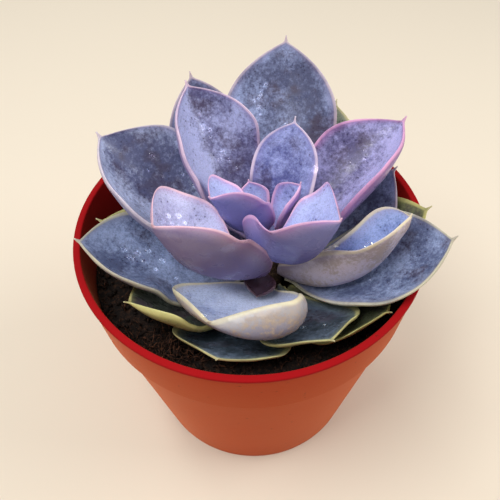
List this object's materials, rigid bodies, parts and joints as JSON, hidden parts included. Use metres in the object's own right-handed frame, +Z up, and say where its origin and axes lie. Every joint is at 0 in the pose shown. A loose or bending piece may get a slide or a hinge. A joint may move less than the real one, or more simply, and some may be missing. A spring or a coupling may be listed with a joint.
{
  "type": "potted echeveria",
  "caption": "Potted echeveria: an open rosette of fleshy, keeled leaves on a short stem, rooted in dark peat in a tapered nursery pot with a stepped collar.",
  "frame": {"origin": "centre of the pot's flat base, on the surface it stands on", "axes": "+Z up along the pot's axis; -Y is the side the rosette leans to"},
  "size_m": [0.1087, 0.106, 0.1222],
  "materials": {
    "leaf_lavender": "waxy leaf skin, lavender bloom",
    "leaf_blue": "waxy leaf skin, slate blue bloom partly rubbed off",
    "leaf_olive": "older waxy leaf skin, olive green",
    "stem_skin": "dry corky stem",
    "peat": "damp fibrous peat",
    "pot_plastic": "terracotta coloured moulded plastic",
    "water": "water drops"
  },
  "bodies": {
    "root": {"leaf_01": "leaf_lavender", "leaf_02": "leaf_lavender", "leaf_03": "leaf_lavender", "leaf_04": "leaf_lavender", "leaf_05": "leaf_lavender", "leaf_06": "leaf_lavender", "leaf_07": "leaf_blue", "leaf_08": "leaf_blue", "leaf_09": "leaf_blue", "leaf_10": "leaf_blue", "leaf_11": "leaf_blue", "leaf_12": "leaf_blue", "leaf_13": "leaf_blue", "leaf_14": "leaf_blue", "leaf_15": "leaf_blue", "leaf_16": "leaf_blue", "leaf_17": "leaf_blue", "leaf_18": "leaf_blue", "leaf_19": "leaf_olive", "leaf_20": "leaf_olive", "leaf_21": "leaf_olive", "leaf_22": "leaf_olive", "leaf_23": "leaf_olive", "leaf_24": "leaf_olive", "leaf_25": "leaf_blue", "leaf_26": "leaf_blue", "leaf_27": "leaf_olive", "leaf_28": "leaf_olive", "leaf_29": "leaf_olive", "leaf_30": "leaf_olive", "stem": "stem_skin", "soil": "peat", "pot": "pot_plastic"}
  },
  "joints": []
}
